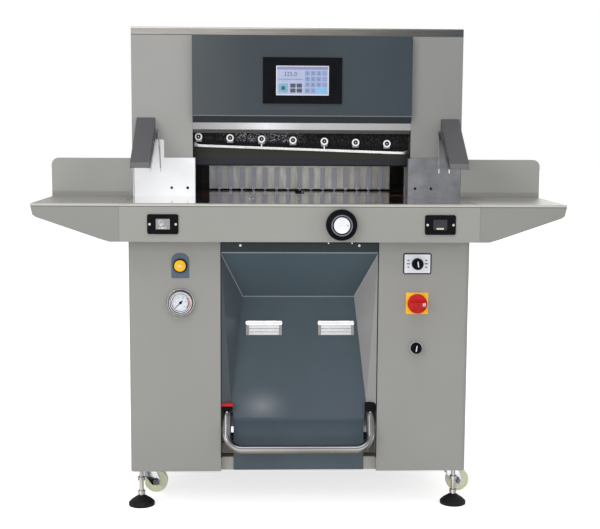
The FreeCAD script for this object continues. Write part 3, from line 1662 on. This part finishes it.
def handwheel():
    """Turned knob: a wide rim, a waist and the shaft with its collar behind the sheet."""
    rim = size.handwheel_radius
    face = front - size.knob_reach
    back = front - size.seat_gap
    shaft = size.handwheel_shaft
    collar_start = front + wall + size.seat_gap
    collar_end = collar_start + size.collar_thickness
    waist = size.handwheel_waist
    bevel = size.handwheel_rim / 2
    node("handwheel", turned("y", (size.handwheel_x, control_z), [
        (0, face), (waist, face), (waist, face + bevel), (rim, face + size.handwheel_rim),
        (rim, back - bevel), (rim - bevel, back), (shaft, back), (shaft, collar_start),
        (size.handwheel_collar, collar_start), (size.handwheel_collar, collar_end), (0, collar_end)]))


def control_plates():
    """Legend plate with the push button's ring, selector plate, main switch plate and key ring."""
    y = (cabinet_front - size.plate_sheet, cabinet_front)
    legend_bottom = beam_bottom - size.legend_drop
    legend_top = legend_bottom + size.legend_height
    legend = box(middle_span(size.legend_x, size.legend_width), y, (legend_bottom, legend_top))
    legend = rounded(legend, size.legend_width / 2 - size.cap_gap,
                     lambda edge: runs_along(edge, "y") and passes(edge, z=legend_top))
    ring_y = (cabinet_front - size.push_ring_proud, cabinet_front)
    ring = rod("y", (size.legend_x, push_z), ring_y, size.push_ring_radius)
    ring_hole = rod("y", (size.legend_x, push_z), ring_y, size.push_radius + size.cap_gap)
    hole = size.knob_shaft + size.shaft_gap
    selector_x = middle_span(size.selector_x, size.selector_width)
    selector = cut(
        box(selector_x, y, middle_span(selector_z, size.selector_height)),
        rod("y", (size.selector_x, selector_z), y, hole))
    main = cut(
        box(middle_span(size.main_switch_x, size.main_plate_width), y,
            middle_span(main_switch_z, size.main_plate_height)),
        rod("y", (size.main_switch_x, main_switch_z), y, hole))
    key_centre = (size.key_x, key_z)
    key = cut(rod("y", key_centre, y, size.key_ring_radius), rod("y", key_centre, y, hole))
    node("control_plates", group(cut(join(legend, ring), ring_hole), selector, main, key))


def push_button():
    start = cabinet_front - size.push_ring_proud - size.push_proud
    collar_start = cabinet_front + wall + size.push_travel + size.seat_gap
    centre = (size.legend_x, push_z)
    node("push_button", join(
        rod("y", centre, (start, collar_start), size.push_radius),
        rod("y", centre, (collar_start, collar_start + size.push_stem), size.push_stem_radius)))


def rotary_knob(name, x, z, radius, depth, grip_width, grip_height, upright):
    """Round knob with a raised grip, its shaft and the collar that holds it behind the sheet."""
    back = cabinet_front - size.plate_sheet - size.seat_gap
    face = back - depth
    collar_start = cabinet_front + wall + size.seat_gap
    long_span = radius - grip_width / 4
    grip_x = middle_span(x, grip_width) if upright else (x - long_span, x + long_span)
    grip_z = (z - long_span, z + long_span) if upright else middle_span(z, grip_width)
    node(name, join(
        rod("y", (x, z), (face, back), radius),
        box(grip_x, (face - grip_height, face), grip_z),
        rod("y", (x, z), (back, collar_start), size.knob_shaft),
        rod("y", (x, z), (collar_start, collar_start + size.collar_thickness), size.knob_collar)))


def knobs():
    grip = size.selector_grip
    radius = size.selector_radius
    depth = size.selector_depth
    rotary_knob("program_selector", size.selector_x, selector_z, radius, depth, grip, grip, True)
    rotary_knob("key_selector", size.key_x, key_z, radius, depth, grip, grip, True)
    rotary_knob("main_switch_knob", size.main_switch_x, main_switch_z, size.main_knob_radius,
                size.main_knob_depth, size.main_grip_width, size.main_grip_height, False)


def pressure_gauge():
    """Case with a flange, a bezel and a sunk dial, and the pointer on its pin."""
    centre = (size.pressure_x, pressure_z)
    face = cabinet_front - size.pressure_proud
    flange = cabinet_front - size.plate_sheet
    dial = face + size.dial_depth
    pin = size.pointer_pin
    case = join(
        rod("y", centre, (flange, cabinet_front), size.pressure_flange),
        rod("y", centre, (face, flange), size.pressure_bezel),
        rod("y", centre, (flange, cabinet_front + size.pressure_body_depth), size.pressure_body))
    pin_end = dial + size.dial_depth
    node("gauge_case", cut(
        case, rod("y", centre, (face, dial), size.dial_radius),
        rod("y", centre, (dial, pin_end), pin + size.shaft_gap)))
    sheet_y = (dial - size.seat_gap - size.pointer_sheet, dial - size.seat_gap)
    half = size.pointer_width / 2
    tip = size.pointer_tip / 2
    needle = prism("XZ", [
        (-half, -size.pointer_tail), (half, -size.pointer_tail), (tip, size.pointer_length),
        (-tip, size.pointer_length)], (length(0), size.pointer_sheet))
    turn(needle, FreeCAD.Vector(0, 1, 0), float(size.pointer_angle))
    place(needle, size.pressure_x, sheet_y[0], pressure_z)
    boss = rod("y", centre, sheet_y, size.pointer_width)
    axle = rod("y", centre, (sheet_y[1], pin_end - size.seat_gap), pin)
    node("gauge_pointer", join(needle, boss, axle))


# Foot pedal

def foot_pedal():
    """One bent chrome tube, a U seen from the front, on a cross shaft behind the cover."""
    arm = float(size.pedal_arm_x)
    bar_y = float(front + size.pedal_bar_front)
    knee_y = float(front + size.pedal_knee_front)
    pivot_y = float(front + size.pedal_pivot_front)
    low = float(size.pedal_bar_z)
    high = float(size.pedal_pivot_z)
    corners = [
        FreeCAD.Vector(-arm, pivot_y, high), FreeCAD.Vector(-arm, knee_y, high),
        FreeCAD.Vector(-arm, bar_y, low), FreeCAD.Vector(arm, bar_y, low),
        FreeCAD.Vector(arm, knee_y, high), FreeCAD.Vector(arm, pivot_y, high)]
    path = bent_path(corners, float(size.pedal_bend))
    solids = []
    for radius in (size.pedal_radius, size.pedal_radius - size.pedal_wall):
        ring = Part.Wire(Part.makeCircle(float(radius), corners[0], FreeCAD.Vector(0, 1, 0)))
        solids.append(path.makePipeShell([ring], True, False))
    bent_tube = doc.addObject("Part::Feature", "bent_tube")
    bent_tube.Shape = solids[0].cut(solids[1])
    shaft = rod("x", (front + size.pedal_pivot_front, size.pedal_pivot_z),
                (-size.pedal_ear_x, size.pedal_ear_x), size.pedal_shaft_radius)
    node("foot_pedal", join(bent_tube, shaft))


def bent_path(corners, bend):
    """Straight runs joined by tangent arcs of one bend radius."""
    edges = []
    start = corners[0]
    for before, corner, after in zip(corners, corners[1:], corners[2:]):
        back_way = (before - corner).normalize()
        on_way = (after - corner).normalize()
        half_angle = back_way.getAngle(on_way) / 2
        run = bend / math.tan(half_angle)
        one = corner + back_way * run
        two = corner + on_way * run
        middle_way = (back_way + on_way).normalize()
        middle = corner + middle_way * (bend / math.sin(half_angle) - bend)
        edges.append(Part.LineSegment(start, one).toShape())
        edges.append(Part.Arc(one, middle, two).toShape())
        start = two
    edges.append(Part.LineSegment(start, corners[-1]).toShape())
    return Part.Wire(edges)


# Hinged cover over the back table

def rear_cover():
    """Hood over the gauge's travel, hinged at the tower's back, with a lip that rests on the table."""
    across = middle_span(size.throat_offset, frame_spacing + size.hood_side_gap * 2)
    start = tower_back + size.hood_front_gap
    top = table_top + size.hood_height
    low = table_top - size.hood_skirt
    sight = size.hood_sight
    outer = prism("YZ", [
        (start, low), (rear, low), (rear, top - sight), (rear - sight, top), (start, top)], across)
    inner = prism("YZ", [
        (start - wall, low - wall), (rear - wall, low - wall), (rear - wall, top - sight - wall / 2),
        (rear - sight - wall / 2, top - wall), (start - wall, top - wall)],
        (across[0] + wall, across[1] - wall))
    lip_y = (rear - size.hood_lip, rear - wall)
    rest = table_top + size.seat_gap
    lip_x = middle_span(size.throat_offset, frame_spacing - (size.fence_wall + size.hood_lip_gap) * 2)
    lip = box(lip_x, lip_y, (rest, rest + wall))
    shell = join(cut(outer, inner), lip)
    hinge_y = tower_back + size.hood_hinge_back
    hinge_z = table_top + size.hood_hinge_rise
    knuckles = []
    for side in (-1, 1):
        middle = size.throat_offset + side * size.hood_knuckle_x
        x = middle_span(middle, size.hood_knuckle)
        radius = size.hood_hinge_radius
        knuckles.append(rod("x", (hinge_y, hinge_z), x, radius))
        knuckles.append(box(x, (hinge_y - radius / 2, hinge_y + radius), (top - wall, hinge_z)))
        pin_x = middle_span(middle, size.hood_pin_length)
        knuckles.append(rod("x", (hinge_y, hinge_z), pin_x, size.hood_pin_radius))
    node("rear_cover", join(shell, *knuckles))


# Screw heads that show

def cover_screws():
    """Pan heads on the service cover's strip and at both ends of each cut button's frame."""
    screws = []
    strip_z = strip_top - size.strip_screw_drop
    strip_x = size.niche_width / 2 - size.strip_screw_inset
    places = [(side * strip_x, strip_z, cabinet_front) for side in (-1, 1)]
    for middle in (size.cut_button_left, size.cut_button_right):
        for side in (-1, 1):
            x = middle + side * (size.bezel_width + size.sleeve_width) / 4
            places.append((x, control_z, front - size.bezel_proud))
    for x, z, face in places:
        screws.append(rod("y", (x, z), (face - size.screw_head_height, face), size.screw_head_radius))
    node("cover_screws", group(*screws))


def check_and_write():
    """Stops on any failed object, then writes one file for each node."""
    doc.recompute()
    failed = [item for item in doc.Objects if "Invalid" in item.State or "Error" in item.State]
    for item in failed:
        print("failed object:", item.Name, item.Label, [part.Name for part in item.OutList])
    if failed:
        raise RuntimeError("%d objects failed" % len(failed))
    os.makedirs("parts", exist_ok=True)
    for name, item in nodes.items():
        shape = item.Shape
        if shape.isNull() or not shape.isValid() or not shape.Solids:
            raise RuntimeError("bad shape: " + name)
        shape.exportStep("parts/%s.step" % name)
    print("nodes written:", len(nodes))


base_frame()
feet()
casters()
side_frames()
upper_cross_beam()
cutting_table()
rear_table()
front_beam_cover()
side_tables()
cabinet_casings()
cabinet_back_panel()
centre_service_cover()
tower_casing()
tower_top_lid()
tower_front_cover()
throat_lintel()
touch_screen()
side_guides()
light_guards()
knife_carrier()
knife_blade()
knife_bolts()
knife_guide_shoes()
knife_cylinder()
clamp_beam()
clamp_cylinder()
backgauge_comb()
backgauge_carriage()
lead_screw()
backgauge_motor()
hydraulics()
cut_buttons()
handwheel()
control_plates()
push_button()
knobs()
pressure_gauge()
foot_pedal()
rear_cover()
cover_screws()
check_and_write()
